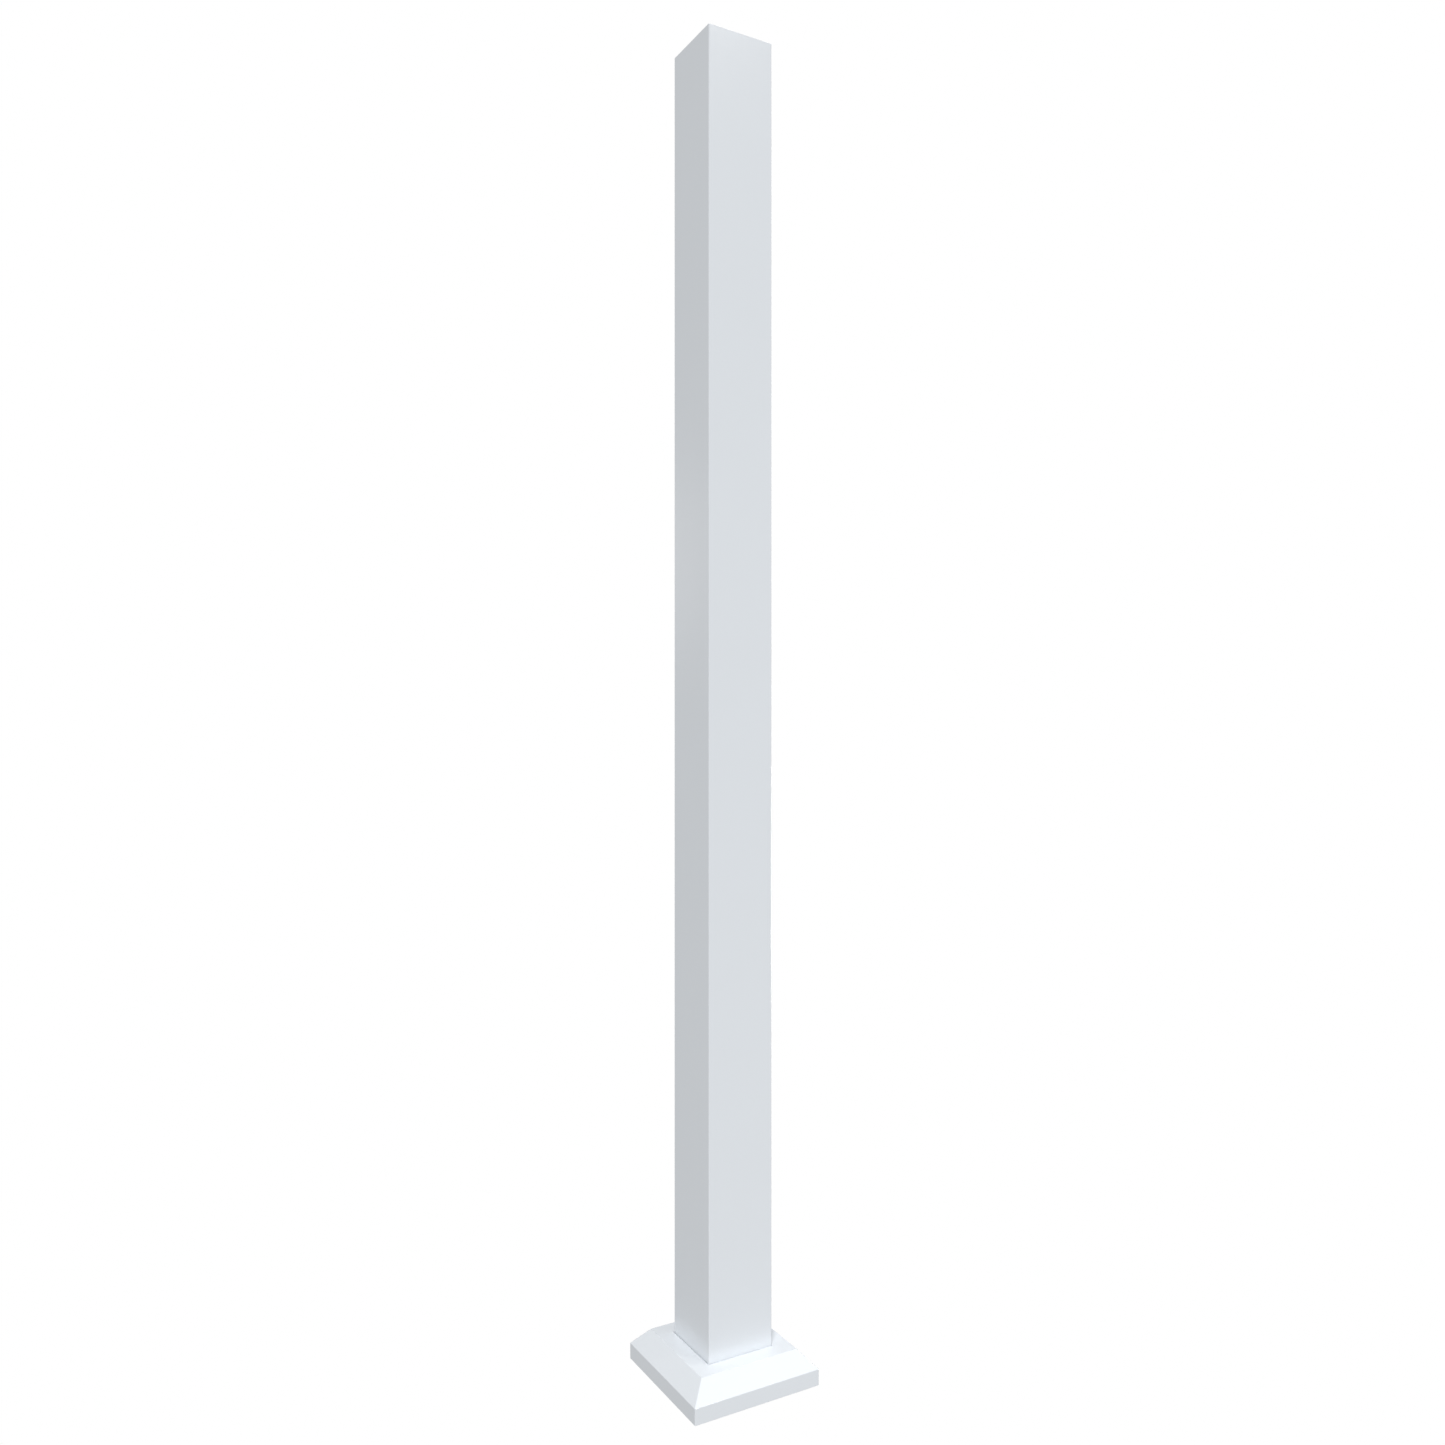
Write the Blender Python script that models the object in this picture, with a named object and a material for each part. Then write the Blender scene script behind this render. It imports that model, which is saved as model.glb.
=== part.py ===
"""White aluminium deck railing post: a square tube welded to a foot plate, and the base skirt over them.

Metres, +Z up. The origin is on the deck, in the middle of the post's underside.
"""
import math

import bmesh
import bpy

# The square tube
POST_WIDTH = 0.0508  # across the flats, 2 in
POST_HEIGHT = 0.9398  # from the deck to the cut top end, 37 in
POST_WALL = 0.0025
POST_CORNER_RADIUS = 0.0008
TOP_EDGE_BREAK = 0.0003  # chamfer that takes the burr off the cut end

# The foot plate that it is welded to
PLATE_FLANGE = 0.01905  # how far the plate stands out past the tube, 3/4 in on each side
PLATE_THICKNESS = 0.0095
PLATE_CORNER_RADIUS = 0.003
PLATE_EDGE_BREAK = 0.0005
BOLT_HOLE_DIAMETER = 0.0095

# The base skirt: an upright rim, a slope and a flat ring round the tube
SKIRT_WALL = 0.002
SKIRT_EDGE_RADIUS = 0.0007
SKIRT_INSIDE_RADIUS = 0.0004
OPENING_EDGE_BREAK = 0.0003
PLATE_CLEARANCE = 0.0028  # between the plate's edge and the inside of the rim
POST_CLEARANCE = 0.0004  # between the tube's faces and the opening
RIM_ABOVE_PLATE = 0.0017  # the slope starts this far above the plate
SLOPE_RUN = 0.01125
SLOPE_RISE = 0.0122

# Sizes that follow from these
POST_HALF = POST_WIDTH / 2
PLATE_HALF = POST_HALF + PLATE_FLANGE
BOLT_OFFSET = POST_HALF + PLATE_FLANGE / 2  # the holes sit in the middle of the flange
SKIRT_HALF = PLATE_HALF + PLATE_CLEARANCE + SKIRT_WALL
OPENING_HALF = POST_HALF + POST_CLEARANCE
RIM_HEIGHT = PLATE_THICKNESS + RIM_ABOVE_PLATE
SKIRT_HEIGHT = RIM_HEIGHT + SLOPE_RISE
FLAT_HALF = SKIRT_HALF - SLOPE_RUN

# How finely round shapes are divided
CORNER_STEPS = 4
EDGE_STEPS = 3
HOLE_SIDES = 32

COAT_WHITE = (0.80, 0.82, 0.84, 1.0)


def rounded_square(half_width, radius):
    """Outline of a square with rounded corners, anticlockwise, as (x, y) points."""
    centre = half_width - radius
    points = []
    for corner in range(4):
        side_x = 1 if corner in (0, 3) else -1
        side_y = 1 if corner in (0, 1) else -1
        for step in range(CORNER_STEPS + 1):
            angle = math.radians(90 * (corner + step / CORNER_STEPS))
            x = side_x * centre + radius * math.cos(angle)
            y = side_y * centre + radius * math.sin(angle)
            points.append((x, y))
    return points


def loft(name, sections, closed):
    """Solid through rounded squares, each given as (half width, corner radius, height).

    The sections run up the outside and down the inside. A closed run joins the last to the first;
    an open one is capped at both ends.
    """
    mesh_data = bmesh.new()
    rings = []
    for half_width, radius, height in sections:
        outline = rounded_square(half_width, radius)
        rings.append([mesh_data.verts.new((x, y, height)) for x, y in outline])
    pairs = list(zip(rings, rings[1:]))
    if closed:
        pairs.append((rings[-1], rings[0]))
    else:
        mesh_data.faces.new(list(reversed(rings[0])))
        mesh_data.faces.new(rings[-1])
    for lower, upper in pairs:
        for index, corner in enumerate(lower):
            after = (index + 1) % len(lower)
            mesh_data.faces.new((corner, lower[after], upper[after], upper[index]))
    mesh = bpy.data.meshes.new(name)
    mesh_data.to_mesh(mesh)
    mesh_data.free()
    mesh.shade_smooth()
    mesh.set_sharp_from_angle(angle=math.radians(35))
    part = bpy.data.objects.new(name, mesh)
    bpy.context.scene.collection.objects.link(part)
    return part


def rounded_corner(before, corner, after, radius):
    """Points of an arc that rounds one corner of a profile; points are (half width, height)."""
    to_before = (before[0] - corner[0], before[1] - corner[1])
    to_after = (after[0] - corner[0], after[1] - corner[1])
    start_angle = math.atan2(to_before[1], to_before[0])
    end_angle = math.atan2(to_after[1], to_after[0])
    turn = (end_angle - start_angle + math.pi) % (2 * math.pi) - math.pi
    middle_angle = start_angle + turn / 2
    reach = radius / math.sin(abs(turn) / 2)
    centre_x = corner[0] + reach * math.cos(middle_angle)
    centre_z = corner[1] + reach * math.sin(middle_angle)
    swing = math.copysign(math.pi - abs(turn), turn)
    first = middle_angle + math.pi + swing / 2
    points = []
    for step in range(EDGE_STEPS + 1):
        angle = first - swing * step / EDGE_STEPS
        points.append((centre_x + radius * math.cos(angle), centre_z + radius * math.sin(angle)))
    return points


def coated(part, roughness):
    """White powder coat."""
    material = bpy.data.materials.new(part.name + "_coat")
    material.use_nodes = True
    shader = material.node_tree.nodes["Principled BSDF"]
    shader.inputs["Base Color"].default_value = COAT_WHITE
    shader.inputs["Roughness"].default_value = roughness
    shader.inputs["Metallic"].default_value = 0.0
    part.data.materials.append(material)


def bolt_hole(name, x, y):
    """Cutter for one bolt hole, straight through the plate and past both its faces."""
    mesh_data = bmesh.new()
    bmesh.ops.create_cone(
        mesh_data,
        cap_ends=True,
        segments=HOLE_SIDES,
        radius1=BOLT_HOLE_DIAMETER / 2,
        radius2=BOLT_HOLE_DIAMETER / 2,
        depth=2 * PLATE_THICKNESS,
    )
    mesh = bpy.data.meshes.new(name)
    mesh_data.to_mesh(mesh)
    mesh_data.free()
    cutter = bpy.data.objects.new(name, mesh)
    cutter.location = (x, y, PLATE_THICKNESS / 2)
    cutter.hide_render = True
    cutter.display_type = "WIRE"
    bpy.context.scene.collection.objects.link(cutter)
    return cutter


def make_post():
    """The tube and its foot plate, one welded piece."""
    inside = POST_HALF - POST_WALL
    inside_radius = POST_CORNER_RADIUS
    sections = [
        (PLATE_HALF - PLATE_EDGE_BREAK, PLATE_CORNER_RADIUS - PLATE_EDGE_BREAK, 0.0),
        (PLATE_HALF, PLATE_CORNER_RADIUS, PLATE_EDGE_BREAK),
        (PLATE_HALF, PLATE_CORNER_RADIUS, PLATE_THICKNESS - PLATE_EDGE_BREAK),
        (PLATE_HALF - PLATE_EDGE_BREAK, PLATE_CORNER_RADIUS - PLATE_EDGE_BREAK, PLATE_THICKNESS),
        (POST_HALF, POST_CORNER_RADIUS, PLATE_THICKNESS),
        (POST_HALF, POST_CORNER_RADIUS, POST_HEIGHT - TOP_EDGE_BREAK),
        (POST_HALF - TOP_EDGE_BREAK, POST_CORNER_RADIUS, POST_HEIGHT),
        (inside + TOP_EDGE_BREAK, inside_radius, POST_HEIGHT),
        (inside, inside_radius, POST_HEIGHT - TOP_EDGE_BREAK),
        (inside, inside_radius, PLATE_THICKNESS),
    ]
    post = loft("post", sections, closed=False)
    for side_x in (-1, 1):
        for side_y in (-1, 1):
            name = f"bolt_hole_{'left' if side_x < 0 else 'right'}_{'front' if side_y < 0 else 'back'}"
            cut = post.modifiers.new(name, "BOOLEAN")
            cut.operation = "DIFFERENCE"
            cut.solver = "EXACT"
            cut.object = bolt_hole(name, side_x * BOLT_OFFSET, side_y * BOLT_OFFSET)
    coated(post, roughness=0.4)
    return post


def make_base_skirt():
    """The hollow one-piece cover: rim, slope and flat ring, of one wall thickness."""
    slope_angle = math.atan2(SLOPE_RISE, SLOPE_RUN)
    flat_shift = SKIRT_WALL * math.tan(slope_angle / 2)
    rim_shift = SKIRT_WALL * math.tan((math.pi / 2 - slope_angle) / 2)
    rim_foot = (SKIRT_HALF, 0.0)
    rim_top = (SKIRT_HALF, RIM_HEIGHT)
    flat_edge = (FLAT_HALF, SKIRT_HEIGHT)
    opening_edge = (OPENING_HALF, SKIRT_HEIGHT)

    radius = SKIRT_EDGE_RADIUS
    sections = [(SKIRT_HALF, radius, 0.0)]
    for x, z in rounded_corner(rim_foot, rim_top, flat_edge, radius):
        sections.append((x, radius, z))
    for x, z in rounded_corner(rim_top, flat_edge, opening_edge, radius):
        sections.append((x, radius, z))
    opening_radius = POST_CORNER_RADIUS + POST_CLEARANCE
    inside_radius = SKIRT_INSIDE_RADIUS
    sections += [
        (OPENING_HALF + OPENING_EDGE_BREAK, opening_radius + OPENING_EDGE_BREAK, SKIRT_HEIGHT),
        (OPENING_HALF, opening_radius, SKIRT_HEIGHT - OPENING_EDGE_BREAK),
        (OPENING_HALF, opening_radius, SKIRT_HEIGHT - SKIRT_WALL),
        (FLAT_HALF - flat_shift, inside_radius, SKIRT_HEIGHT - SKIRT_WALL),
        (SKIRT_HALF - SKIRT_WALL, inside_radius, RIM_HEIGHT - rim_shift),
        (SKIRT_HALF - SKIRT_WALL, inside_radius, 0.0),
    ]
    skirt = loft("base_skirt", sections, closed=True)
    coated(skirt, roughness=0.35)
    return skirt


def main():
    for old in list(bpy.data.objects):
        bpy.data.objects.remove(old, do_unlink=True)
    make_post()
    make_base_skirt()


main()
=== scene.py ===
"""Looks of the white deck post: a powder-coated square tube on its welded foot plate, and its base skirt.

Metres, +Z up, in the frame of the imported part. The tube's faces lie across X and Y.
"""
import math

import bmesh
import bpy
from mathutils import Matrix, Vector, noise


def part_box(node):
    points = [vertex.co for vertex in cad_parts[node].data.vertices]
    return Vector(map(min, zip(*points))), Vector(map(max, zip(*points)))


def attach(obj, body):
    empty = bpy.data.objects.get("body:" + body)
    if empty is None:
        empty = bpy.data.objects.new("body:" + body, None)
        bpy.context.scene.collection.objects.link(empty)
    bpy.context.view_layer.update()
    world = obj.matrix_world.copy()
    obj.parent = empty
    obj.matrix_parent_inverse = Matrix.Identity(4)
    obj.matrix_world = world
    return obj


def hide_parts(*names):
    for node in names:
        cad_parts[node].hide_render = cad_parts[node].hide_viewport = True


# Sizes that the frame's boxes don't give
POST_WIDTH = 0.0508
POST_WALL = 0.0025
POST_CORNER_RADIUS = 0.0008
CUT_EDGE_RADIUS = 0.0002
PLATE_THICKNESS = 0.0095
PLATE_CORNER_RADIUS = 0.003
PLATE_EDGE_RADIUS = 0.0005
BOLT_HOLE_RADIUS = 0.00475
BOLT_HOLE_FLARE = 0.0004
SKIRT_WALL = 0.002
RIM_HEIGHT = 0.0112
SLOPE_RUN = 0.01125
SKIRT_EDGE_RADIUS = 0.0007
SKIRT_INSIDE_RADIUS = 0.0004
SKIRT_FOOT_RADIUS = 0.0003
POST_CLEARANCE = 0.0004
OPENING_EDGE_RADIUS = 0.0003

# The fillet weld between tube and plate
WELD_LEG = 0.004
WELD_CROWN = 0.0005
WELD_PITCH = 0.0021  # from one ripple to the next
WELD_RIPPLE = 0.00022  # how far each ripple stands out
WELD_WANDER = 0.0001  # how far the bead's size drifts from that
WELD_WANDER_LENGTH = 0.011  # length over which it drifts
WELD_TO_PLAIN = 0.003  # the tube's faces are plain from this far above the weld

# How finely round shapes are divided
CORNER_STEPS = 8
EDGE_STEPS = 6
HOLE_SIDES = 48
WELD_RIPPLE_STEPS = 5
WELD_SECTION_STEPS = 8

# How faces are shaded and told apart
SHARP_ANGLE = math.radians(35)  # an edge that turns more than this isn't shaded smooth
FACES_UP = 0.7  # least Z of a unit normal that counts as facing up

# The camera that took the photograph, worked out from the post's corners in it
CAMERA_AZIMUTH = math.radians(-30)
CAMERA_DISTANCE = 0.8573
CAMERA_HEIGHT = 0.4609
CAMERA_LENS = 30.0
CAMERA_SENSOR = 36.0
CAMERA_SHIFT_Y = 0.00102
CAMERA_NEAR = 0.05
CAMERA_FAR = 100.0

# Powder coat
COAT_COLOUR = (0.78, 0.816, 0.855)
COAT_UNEVENNESS = 0.008  # how much lighter and darker its tone drifts, as a share of it
COAT_IOR = 1.5
COAT_ROUGHNESS = 0.2
CUT_END_ROUGHNESS = 0.26
INSIDE_ROUGHNESS = 0.5
ROUGHNESS_DRIFT = 0.02
PEEL_DEPTH = 0.00006
PEEL_STRENGTH = 0.12

# Marks of the metal that show through the coat: scale of the pattern along X, Y and Z, and depth
DIE_LINES = (600.0, 600.0, 1.5)
DIE_LINE_DEPTH = 0.000004
SAW_MARKS = (260.0, 65.0, 260.0)
SAW_MARK_DEPTH = 0.00002
SAW_MARK_BEND = 2.0  # how strongly noise bends them
SAW_MARK_DETAIL = 2.0  # how finely divided that noise is
MARK_STRENGTH = 0.5

# Bare inside of the tube
ALUMINIUM_COLOUR = (0.80, 0.81, 0.82)
ALUMINIUM_ROUGHNESS = 0.36
BORE_LINES = (900.0, 900.0, 2.0)
BORE_LINE_DEPTH = 0.00003
BORE_LINE_STRENGTH = 0.6
OVERSPRAY_ROUGHNESS = 0.55
OVERSPRAY_DEPTH = 0.11  # how far down the tube it reaches
OVERSPRAY_DRIFT = 0.012  # how far its edge wanders up and down

# Noise patterns: scale, detail and roughness. Lines are scaled along each axis before that.
PEEL_NOISE = (520.0, 2.0, 0.45)
CLOUD_NOISE = (26.0, 3.0, 0.5)
DIE_LINE_NOISE = (1.0, 3.0, 0.6)
BORE_LINE_NOISE = (1.0, 4.0, 0.6)
OVERSPRAY_NOISE = (70.0, 4.0, 0.6)

# Stage
WHITE = (1.0, 1.0, 1.0, 1.0)
BACKDROP_STRENGTH = 1.0
SURROUND_STRENGTH = 0.434
FLOOR_REACH = 30.0

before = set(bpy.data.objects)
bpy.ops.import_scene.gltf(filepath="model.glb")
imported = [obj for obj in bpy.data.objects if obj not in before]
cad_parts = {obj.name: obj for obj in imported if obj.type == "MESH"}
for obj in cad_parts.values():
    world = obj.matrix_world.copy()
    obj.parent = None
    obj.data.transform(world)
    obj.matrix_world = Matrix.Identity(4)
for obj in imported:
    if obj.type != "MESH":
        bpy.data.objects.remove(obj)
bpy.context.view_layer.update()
post_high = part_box("post")[1]
skirt_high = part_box("base_skirt")[1]

# Sizes that follow from the frame and from those above
POST_HALF = POST_WIDTH / 2
POST_HEIGHT = post_high.z
PLATE_HALF = post_high.x
BOLT_OFFSET = (POST_HALF + PLATE_HALF) / 2
SKIRT_HALF = skirt_high.x
SKIRT_HEIGHT = skirt_high.z
FLAT_HALF = SKIRT_HALF - SLOPE_RUN
OPENING_HALF = POST_HALF + POST_CLEARANCE


# Shapes

def rounded_square(half_width, radius):
    """Outline of a square with rounded corners, anticlockwise, as (x, y) points."""
    centre = half_width - radius
    points = []
    for corner in range(4):
        side_x = 1 if corner in (0, 3) else -1
        side_y = 1 if corner in (0, 1) else -1
        for step in range(CORNER_STEPS + 1):
            angle = math.radians(90 * (corner + step / CORNER_STEPS))
            x = side_x * centre + radius * math.cos(angle)
            y = side_y * centre + radius * math.sin(angle)
            points.append((x, y))
    return points


def square_ring(half_width, radius, height):
    """Ring for a loft, round a rounded square at one height: each of its spans is a single point."""
    return [[(x, y, height)] for x, y in rounded_square(half_width, radius)]


def rounded_corner(before, corner, after, radius):
    """Points of an arc that rounds one corner of a profile; points are (half width, height)."""
    start_angle = math.atan2(before[1] - corner[1], before[0] - corner[0])
    end_angle = math.atan2(after[1] - corner[1], after[0] - corner[0])
    turn = (end_angle - start_angle + math.pi) % (2 * math.pi) - math.pi
    middle_angle = start_angle + turn / 2
    reach = radius / math.sin(abs(turn) / 2)
    centre_x = corner[0] + reach * math.cos(middle_angle)
    centre_z = corner[1] + reach * math.sin(middle_angle)
    swing = math.copysign(math.pi - abs(turn), turn)
    first = middle_angle + math.pi + swing / 2
    points = []
    for step in range(EDGE_STEPS + 1):
        angle = first - swing * step / EDGE_STEPS
        points.append((centre_x + radius * math.cos(angle), centre_z + radius * math.sin(angle)))
    return points


def rounded_profile(points, closed):
    """Profile through (half width, height, radius) corners, each rounded by its own radius."""
    profile = []
    for index, (x, z, radius) in enumerate(points):
        is_end = not closed and index in (0, len(points) - 1)
        if radius == 0 or is_end:
            profile.append((x, z))
            continue
        before = points[index - 1][:2]
        after = points[(index + 1) % len(points)][:2]
        profile += rounded_corner(before, (x, z), after, radius)
    return profile


def linked(name, mesh_data):
    """A bmesh as a named object in the scene."""
    mesh = bpy.data.meshes.new(name)
    mesh_data.to_mesh(mesh)
    mesh_data.free()
    piece = bpy.data.objects.new(name, mesh)
    bpy.context.scene.collection.objects.link(piece)
    return piece


def bridge(mesh_data, lower, upper):
    """Faces between two rings of a loft.

    A ring is a list of spans, and a span is the run of points from one corner point to before the next.
    Spans of equal length are joined by quads, others by one flat face.
    """
    for index in range(len(lower)):
        after = (index + 1) % len(lower)
        low = lower[index] + lower[after][:1]
        high = upper[index] + upper[after][:1]
        if len(low) == len(high):
            for step in range(len(low) - 1):
                mesh_data.faces.new((low[step], low[step + 1], high[step + 1], high[step]))
        else:
            mesh_data.faces.new(low + high[::-1])


def loft(name, rings, closed):
    """Solid through rings that run up the outside and down the inside, closed on itself or capped."""
    mesh_data = bmesh.new()
    made = []
    for ring in rings:
        made.append([[mesh_data.verts.new(point) for point in span] for span in ring])
    for lower, upper in zip(made, made[1:]):
        bridge(mesh_data, lower, upper)
    if closed:
        bridge(mesh_data, made[-1], made[0])
    else:
        mesh_data.faces.new([corner for span in reversed(made[0]) for corner in reversed(span)])
        mesh_data.faces.new([corner for span in made[-1] for corner in span])
    return linked(name, mesh_data)


def apply_modifiers(piece):
    """Gives the piece the mesh that its modifiers make."""
    graph = bpy.context.evaluated_depsgraph_get()
    evaluated = piece.evaluated_get(graph)
    result = bpy.data.meshes.new_from_object(evaluated, preserve_all_data_layers=True, depsgraph=graph)
    piece.modifiers.clear()
    old = piece.data
    piece.data = result
    bpy.data.meshes.remove(old)


def smooth(piece):
    """Smooth shading with crisp edges, where the large faces stay truly flat up to their roundings."""
    piece.data.shade_smooth()
    piece.data.set_sharp_from_angle(angle=SHARP_ANGLE)
    normals = piece.modifiers.new("flat_faces", "WEIGHTED_NORMAL")
    normals.mode = "FACE_AREA"
    normals.keep_sharp = True
    apply_modifiers(piece)


def weld_size(travelled):
    """How much the bead swells at a distance along it: ripples with a steep front, and a slow drift."""
    phase = travelled / WELD_PITCH % 1.0
    drift = noise.noise(Vector((travelled / WELD_WANDER_LENGTH, 0.0, 0.0)))
    return WELD_RIPPLE * math.sqrt(1 - phase) + WELD_WANDER * drift


def weld_rings():
    """Rings of the fillet weld round the tube's foot, from its toe on the plate to its toe on the tube.

    The same outline 1 m further out gives each corner point the unit vector that points out from it.
    """
    corners = [Vector(point) for point in rounded_square(POST_HALF, POST_CORNER_RADIUS)]
    one_out = [Vector(point) for point in rounded_square(POST_HALF + 1, POST_CORNER_RADIUS + 1)]
    rings = [[] for step in range(WELD_SECTION_STEPS + 1)]
    travelled = 0.0
    for index, corner in enumerate(corners):
        after = corners[(index + 1) % len(corners)]
        outward = one_out[index] - corner
        run = (after - corner).length
        parts = max(1, round(run / WELD_PITCH * WELD_RIPPLE_STEPS))
        for ring in rings:
            ring.append([])
        for part in range(parts):
            point = corner.lerp(after, part / parts)
            swell = weld_size(travelled + run * part / parts)
            for step, ring in enumerate(rings):
                share = step / WELD_SECTION_STEPS
                crown = (WELD_CROWN + swell) * math.sin(math.pi * share) / math.sqrt(2)
                reach = (WELD_LEG + swell) * (1 - share) + crown
                rise = (WELD_LEG + swell) * share + crown
                place = point + outward * reach
                ring[-1].append((place.x, place.y, PLATE_THICKNESS + rise))
        travelled += run
    return rings


def bolt_hole(x, y):
    """Cutter for one bolt hole, flared a little where it meets the plate's two faces.

    Its flares run on past both faces, so that neither end of the cutter lies in a face.
    """
    past = BOLT_HOLE_FLARE
    wide = BOLT_HOLE_RADIUS + BOLT_HOLE_FLARE + past
    profile = [
        (wide, -past),
        (BOLT_HOLE_RADIUS, BOLT_HOLE_FLARE),
        (BOLT_HOLE_RADIUS, PLATE_THICKNESS - BOLT_HOLE_FLARE),
        (wide, PLATE_THICKNESS + past),
    ]
    rings = []
    for reach, height in profile:
        ring = []
        for side in range(HOLE_SIDES):
            angle = 2 * math.pi * side / HOLE_SIDES
            ring.append([(x + reach * math.cos(angle), y + reach * math.sin(angle), height)])
        rings.append(ring)
    return loft("bolt_hole_cutter", rings, closed=False)


def cut_away(piece, cutter):
    """Cuts another object out of the piece, and removes that object."""
    cut = piece.modifiers.new("cut", "BOOLEAN")
    cut.operation = "DIFFERENCE"
    cut.solver = "EXACT"
    cut.object = cutter
    apply_modifiers(piece)
    bpy.data.objects.remove(cutter, do_unlink=True)


def make_post():
    """Tube, weld and foot plate as one closed piece."""
    inside = POST_HALF - POST_WALL
    plate = [
        (0.0, 0.0, 0),
        (PLATE_HALF, 0.0, PLATE_EDGE_RADIUS),
        (PLATE_HALF, PLATE_THICKNESS, PLATE_EDGE_RADIUS),
        (0.0, PLATE_THICKNESS, 0),
    ]
    tube = [
        (POST_HALF, PLATE_THICKNESS + WELD_LEG + WELD_TO_PLAIN, 0),
        (POST_HALF, POST_HEIGHT, CUT_EDGE_RADIUS),
        (inside, POST_HEIGHT, CUT_EDGE_RADIUS),
        (inside, PLATE_THICKNESS, 0),
    ]
    rings = []
    for x, z in rounded_profile(plate, closed=False)[1:-1]:
        rings.append(square_ring(x, PLATE_CORNER_RADIUS - (PLATE_HALF - x), z))
    rings += weld_rings()
    for x, z in rounded_profile(tube, closed=False):
        rings.append(square_ring(x, POST_CORNER_RADIUS, z))
    post = loft("post_tube", rings, closed=False)
    for side_x in (-1, 1):
        for side_y in (-1, 1):
            cut_away(post, bolt_hole(side_x * BOLT_OFFSET, side_y * BOLT_OFFSET))
    smooth(post)
    return post


def make_skirt():
    """Hollow one-piece cover: upright rim, slope and flat ring, of one wall thickness."""
    slope_angle = math.atan2(SKIRT_HEIGHT - RIM_HEIGHT, SLOPE_RUN)
    flat_shift = SKIRT_WALL * math.tan(slope_angle / 2)
    rim_shift = SKIRT_WALL * math.tan((math.pi / 2 - slope_angle) / 2)
    inner_top = SKIRT_HEIGHT - SKIRT_WALL
    inner_half = SKIRT_HALF - SKIRT_WALL
    corners = [
        (SKIRT_HALF, 0.0, SKIRT_FOOT_RADIUS),
        (SKIRT_HALF, RIM_HEIGHT, SKIRT_EDGE_RADIUS),
        (FLAT_HALF, SKIRT_HEIGHT, SKIRT_EDGE_RADIUS),
        (OPENING_HALF, SKIRT_HEIGHT, OPENING_EDGE_RADIUS),
        (OPENING_HALF, inner_top, OPENING_EDGE_RADIUS),
        (FLAT_HALF - flat_shift, inner_top, SKIRT_INSIDE_RADIUS),
        (inner_half, RIM_HEIGHT - rim_shift, SKIRT_INSIDE_RADIUS),
        (inner_half, 0.0, SKIRT_FOOT_RADIUS),
    ]
    opening_radius = POST_CORNER_RADIUS + POST_CLEARANCE
    rings = []
    for x, z in rounded_profile(corners, closed=True):
        # Corners in plan: at the opening they share the tube's centres, elsewhere the radius stays the same
        if x <= OPENING_HALF + OPENING_EDGE_RADIUS:
            radius = opening_radius + (x - OPENING_HALF)
        elif x <= inner_half and z <= inner_top:
            radius = SKIRT_INSIDE_RADIUS
        else:
            radius = SKIRT_EDGE_RADIUS
        rings.append(square_ring(x, radius, z))
    skirt = loft("skirt", rings, closed=True)
    smooth(skirt)
    return skirt


# Materials

def node(tree, kind, **inputs):
    """Adds a shader node and sets its inputs by name."""
    made = tree.nodes.new(kind)
    for key, value in inputs.items():
        made.inputs[key.replace("_", " ")].default_value = value
    return made


def spread(tree, source, low, high):
    """Stretches a factor from 0 to 1 over a range of values, and returns the output."""
    made = node(tree, "ShaderNodeMapRange", To_Min=low, To_Max=high)
    tree.links.new(source, made.inputs["Value"])
    return made.outputs["Result"]


def stretched(tree, place, scales):
    """The piece's own coordinates with each axis multiplied by its scale."""
    made = tree.nodes.new("ShaderNodeMapping")
    made.inputs["Scale"].default_value = scales
    tree.links.new(place, made.inputs["Vector"])
    return made.outputs["Vector"]


def noise_pattern(tree, place, scale, detail, roughness):
    """Noise over the given coordinates, as the output that runs from about 0 to 1."""
    made = node(tree, "ShaderNodeTexNoise", Scale=scale, Detail=detail, Roughness=roughness)
    tree.links.new(place, made.inputs["Vector"])
    return made.outputs["Fac"]


def relief(tree, height, depth, strength, under=None):
    """Bump of a real depth in metres, over another bump where one is given."""
    made = node(tree, "ShaderNodeBump", Strength=strength, Distance=depth)
    tree.links.new(height, made.inputs["Height"])
    if under is not None:
        tree.links.new(under, made.inputs["Normal"])
    return made.outputs["Normal"]


def tinted(tree, colour, factor):
    """One colour made lighter and darker by a factor around 1."""
    made = tree.nodes.new("ShaderNodeVectorMath")
    made.operation = "SCALE"
    made.inputs[0].default_value = colour
    tree.links.new(factor, made.inputs["Scale"])
    return made.outputs["Vector"]


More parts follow.
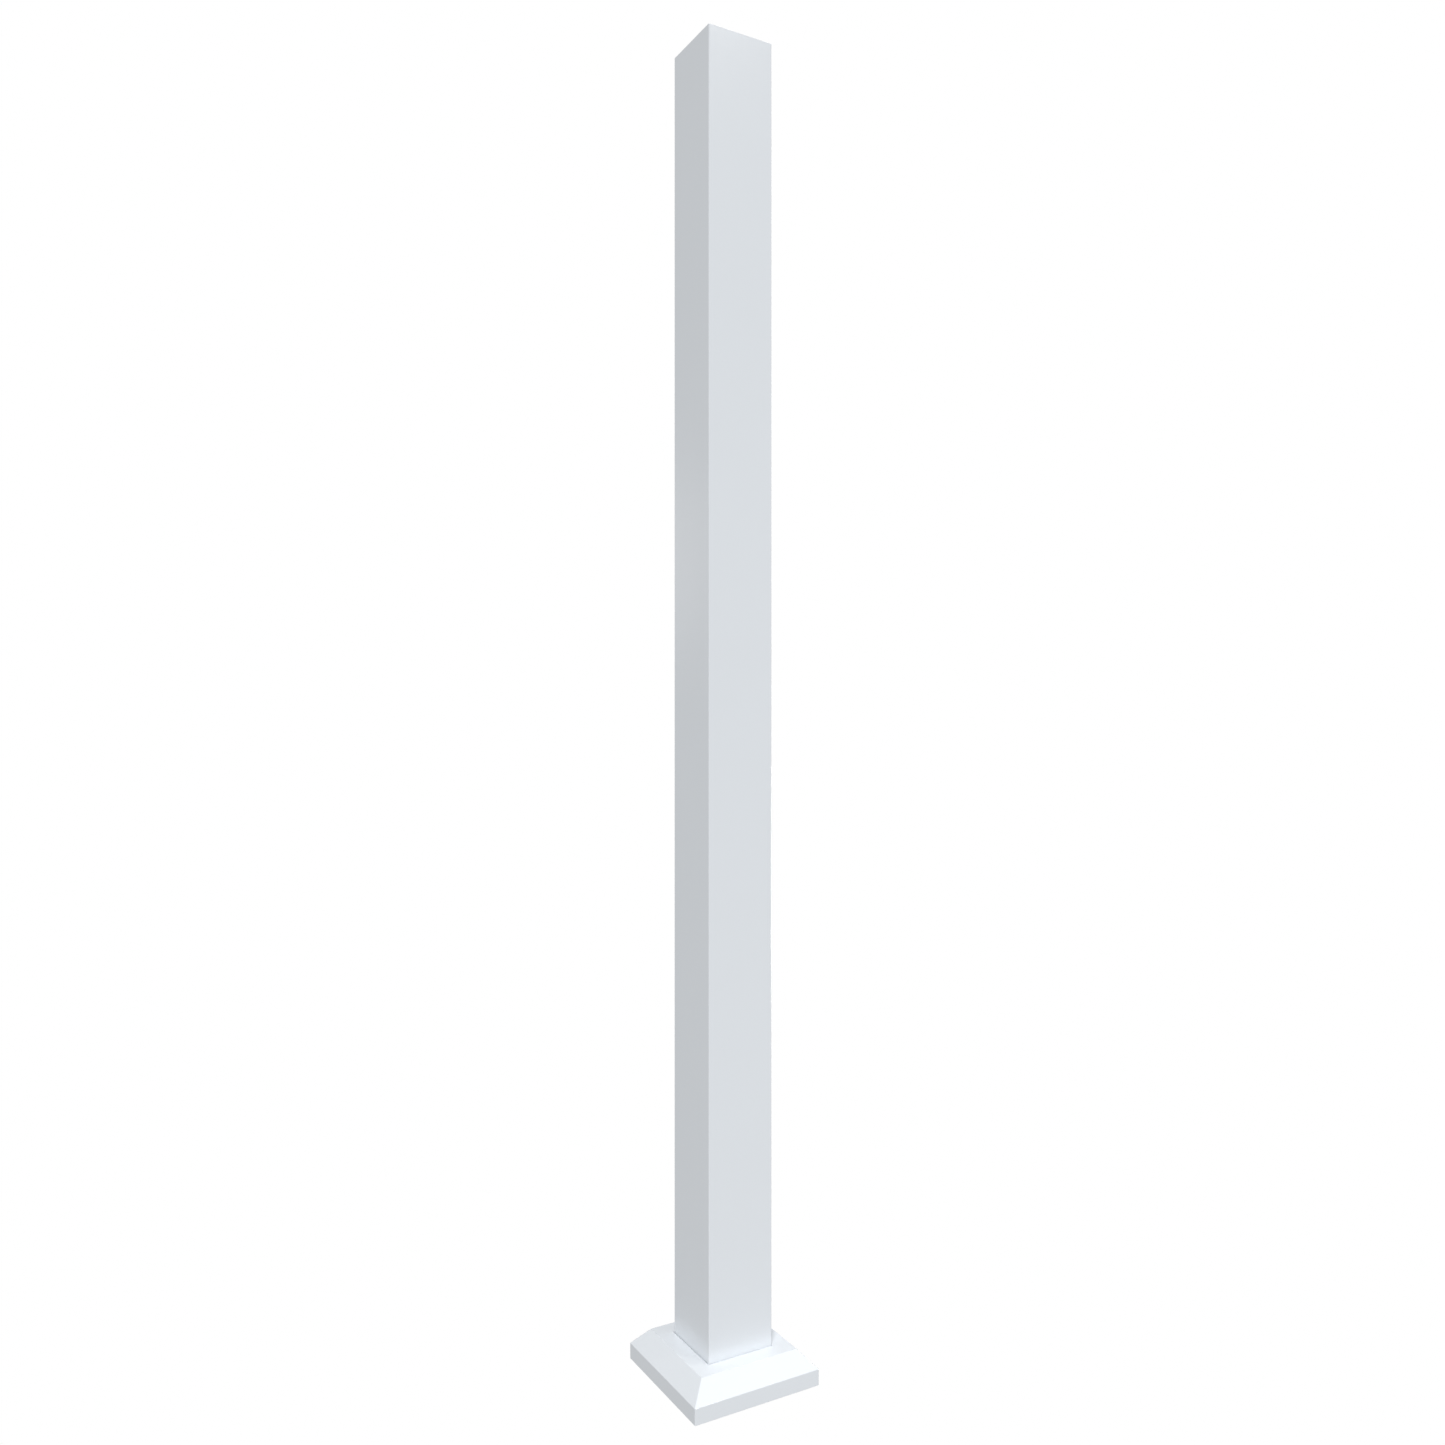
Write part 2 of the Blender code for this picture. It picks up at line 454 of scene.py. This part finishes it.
def powder_coat(name, roughness, die_lines=False, saw_marks=False):
    """White powder coat: orange peel, and a slight unevenness in gloss and tone.

    The marks of the metal below show through it a little: die lines along an extrusion, or a saw's
    marks across a cut end.
    """
    material = bpy.data.materials.new(name)
    material.use_nodes = True
    tree = material.node_tree
    shader = tree.nodes["Principled BSDF"]
    shader.inputs["IOR"].default_value = COAT_IOR
    place = tree.nodes.new("ShaderNodeTexCoord").outputs["Object"]

    peel = noise_pattern(tree, place, *PEEL_NOISE)
    normal = relief(tree, peel, PEEL_DEPTH, PEEL_STRENGTH)
    if die_lines:
        lines = noise_pattern(tree, stretched(tree, place, DIE_LINES), *DIE_LINE_NOISE)
        normal = relief(tree, lines, DIE_LINE_DEPTH, MARK_STRENGTH, under=normal)
    if saw_marks:
        arcs = node(tree, "ShaderNodeTexWave", Scale=1.0, Distortion=SAW_MARK_BEND, Detail=SAW_MARK_DETAIL)
        tree.links.new(stretched(tree, place, SAW_MARKS), arcs.inputs["Vector"])
        normal = relief(tree, arcs.outputs["Fac"], SAW_MARK_DEPTH, MARK_STRENGTH, under=normal)
    tree.links.new(normal, shader.inputs["Normal"])

    cloud = noise_pattern(tree, place, *CLOUD_NOISE)
    tone = spread(tree, cloud, 1 - COAT_UNEVENNESS, 1 + COAT_UNEVENNESS)
    tree.links.new(tinted(tree, COAT_COLOUR, tone), shader.inputs["Base Color"])
    gloss = spread(tree, cloud, roughness - ROUGHNESS_DRIFT, roughness + ROUGHNESS_DRIFT)
    tree.links.new(gloss, shader.inputs["Roughness"])
    return material


def tube_bore():
    """Inside of the tube: bare extruded aluminium, with overspray of the coat that fades downwards."""
    material = bpy.data.materials.new("tube_bore")
    material.use_nodes = True
    tree = material.node_tree
    shader = tree.nodes["Principled BSDF"]
    place = tree.nodes.new("ShaderNodeTexCoord").outputs["Object"]

    height = tree.nodes.new("ShaderNodeSeparateXYZ")
    tree.links.new(place, height.inputs["Vector"])
    drift = noise_pattern(tree, place, *OVERSPRAY_NOISE)
    level = tree.nodes.new("ShaderNodeMath")
    level.operation = "ADD"
    tree.links.new(height.outputs["Z"], level.inputs[0])
    tree.links.new(spread(tree, drift, -OVERSPRAY_DRIFT, OVERSPRAY_DRIFT), level.inputs[1])
    spray = node(tree, "ShaderNodeMapRange")
    spray.inputs["From Min"].default_value = POST_HEIGHT - OVERSPRAY_DEPTH
    spray.inputs["From Max"].default_value = POST_HEIGHT
    spray.interpolation_type = "SMOOTHSTEP"
    tree.links.new(level.outputs["Value"], spray.inputs["Value"])

    colour = tree.nodes.new("ShaderNodeValToRGB")
    colour.color_ramp.elements[0].color = (*ALUMINIUM_COLOUR, 1.0)
    colour.color_ramp.elements[1].color = (*COAT_COLOUR, 1.0)
    tree.links.new(spray.outputs["Result"], colour.inputs["Fac"])
    tree.links.new(colour.outputs["Color"], shader.inputs["Base Color"])
    tree.links.new(spread(tree, spray.outputs["Result"], 1.0, 0.0), shader.inputs["Metallic"])
    gloss = spread(tree, spray.outputs["Result"], ALUMINIUM_ROUGHNESS, OVERSPRAY_ROUGHNESS)
    tree.links.new(gloss, shader.inputs["Roughness"])

    lines = noise_pattern(tree, stretched(tree, place, BORE_LINES), *BORE_LINE_NOISE)
    tree.links.new(relief(tree, lines, BORE_LINE_DEPTH, BORE_LINE_STRENGTH), shader.inputs["Normal"])
    return material


def dress(piece, node_name, materials, surface):
    """Gives each face the material that surface() picks for it, and puts the piece in its node's place."""
    piece.data.materials.clear()
    for material in materials:
        piece.data.materials.append(material)
    for face in piece.data.polygons:
        face.material_index = surface(face)
    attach(piece, "root")
    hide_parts(node_name)


def post_surface(face):
    """0 on the outside, 1 on the cut end, 2 inside the tube."""
    reach = max(abs(face.center.x), abs(face.center.y))
    if face.center.z > POST_HEIGHT - CUT_EDGE_RADIUS and face.normal.z > FACES_UP:
        return 1
    if reach < POST_HALF - POST_WALL / 2 and face.center.z > PLATE_THICKNESS / 2:
        return 2
    return 0


def skirt_surface(face):
    """0 on the outside, 1 inside, where the coat is thin and dull."""
    outward = face.normal.x * face.center.x + face.normal.y * face.center.y
    return 1 if face.normal.z < 0 or outward < 0 else 0


# Stage

def make_world():
    """Pure white behind the object, and a softer studio surround that lights it."""
    world = bpy.data.worlds.new("studio")
    bpy.context.scene.world = world
    world.use_nodes = True
    tree = world.node_tree
    tree.nodes.clear()
    output = tree.nodes.new("ShaderNodeOutputWorld")
    backdrop = node(tree, "ShaderNodeBackground", Color=WHITE, Strength=BACKDROP_STRENGTH)
    surround = node(tree, "ShaderNodeBackground", Color=WHITE, Strength=SURROUND_STRENGTH)
    ray = tree.nodes.new("ShaderNodeLightPath")
    mix = tree.nodes.new("ShaderNodeMixShader")
    tree.links.new(ray.outputs["Is Camera Ray"], mix.inputs["Fac"])
    tree.links.new(surround.outputs["Background"], mix.inputs[1])
    tree.links.new(backdrop.outputs["Background"], mix.inputs[2])
    tree.links.new(mix.outputs["Shader"], output.inputs["Surface"])


def make_floor():
    """White floor that runs into the backdrop. It is seen, and it doesn't light the object."""
    mesh = bpy.data.meshes.new("floor")
    reach = FLOOR_REACH
    corners = [(-reach, -reach, 0), (reach, -reach, 0), (reach, reach, 0), (-reach, reach, 0)]
    mesh.from_pydata(corners, [], [(0, 1, 2, 3)])
    floor = bpy.data.objects.new("floor", mesh)
    bpy.context.scene.collection.objects.link(floor)
    material = bpy.data.materials.new("floor_white")
    material.use_nodes = True
    tree = material.node_tree
    tree.nodes.clear()
    output = tree.nodes.new("ShaderNodeOutputMaterial")
    glow = node(tree, "ShaderNodeEmission", Color=WHITE, Strength=BACKDROP_STRENGTH)
    clear = tree.nodes.new("ShaderNodeBsdfTransparent")
    side = tree.nodes.new("ShaderNodeNewGeometry")
    mix = tree.nodes.new("ShaderNodeMixShader")
    tree.links.new(side.outputs["Backfacing"], mix.inputs["Fac"])
    tree.links.new(glow.outputs["Emission"], mix.inputs[1])
    tree.links.new(clear.outputs["BSDF"], mix.inputs[2])
    tree.links.new(mix.outputs["Shader"], output.inputs["Surface"])
    mesh.materials.append(material)
    floor.visible_diffuse = False
    floor.visible_glossy = False
    floor.visible_shadow = False


def far_light(name, azimuth, elevation, width, strength):
    """Even light from far away, with its direction and apparent width in degrees; azimuth 0 is at -Y."""
    lamp = bpy.data.lights.new(name, "SUN")
    lamp.angle = math.radians(width)
    lamp.energy = strength
    light = bpy.data.objects.new(name, lamp)
    turn = math.radians(azimuth)
    rise = math.radians(elevation)
    back = Vector((math.sin(turn) * math.cos(rise), -math.cos(turn) * math.cos(rise), math.sin(rise)))
    light.rotation_mode = "QUATERNION"
    light.rotation_quaternion = (-back).to_track_quat("-Z", "Y")
    bpy.context.scene.collection.objects.link(light)


def make_camera():
    """The photograph's camera: level, and turned to the post's axis."""
    lens = bpy.data.cameras.new("camera")
    lens.lens = CAMERA_LENS
    lens.sensor_width = CAMERA_SENSOR
    lens.shift_y = CAMERA_SHIFT_Y
    lens.clip_start = CAMERA_NEAR
    lens.clip_end = CAMERA_FAR
    camera = bpy.data.objects.new("camera", lens)
    back = Vector((math.sin(CAMERA_AZIMUTH), -math.cos(CAMERA_AZIMUTH), 0))
    camera.location = back * CAMERA_DISTANCE + Vector((0, 0, CAMERA_HEIGHT))
    camera.rotation_mode = "QUATERNION"
    camera.rotation_quaternion = (-back).to_track_quat("-Z", "Y")
    bpy.context.scene.collection.objects.link(camera)
    bpy.context.scene.camera = camera


# The object on its stage

post_materials = [
    powder_coat("post_powder_coat", COAT_ROUGHNESS, die_lines=True),
    powder_coat("cut_end_powder_coat", CUT_END_ROUGHNESS, saw_marks=True),
    tube_bore(),
]
dress(make_post(), "post", post_materials, post_surface)
skirt_materials = [
    powder_coat("skirt_powder_coat", COAT_ROUGHNESS),
    powder_coat("skirt_inside_powder_coat", INSIDE_ROUGHNESS),
]
dress(make_skirt(), "base_skirt", skirt_materials, skirt_surface)

make_world()
make_floor()
make_camera()
far_light("key", azimuth=-38, elevation=49, width=16, strength=2.07)
far_light("side", azimuth=65, elevation=42, width=14, strength=0.48)
far_light("front", azimuth=30, elevation=37.5, width=8, strength=0.37)
far_light("gloss", azimuth=-157, elevation=8, width=10, strength=0.027)
far_light("back", azimuth=108, elevation=-8, width=12, strength=1.2)

scene = bpy.context.scene
scene.view_settings.view_transform = "Standard"
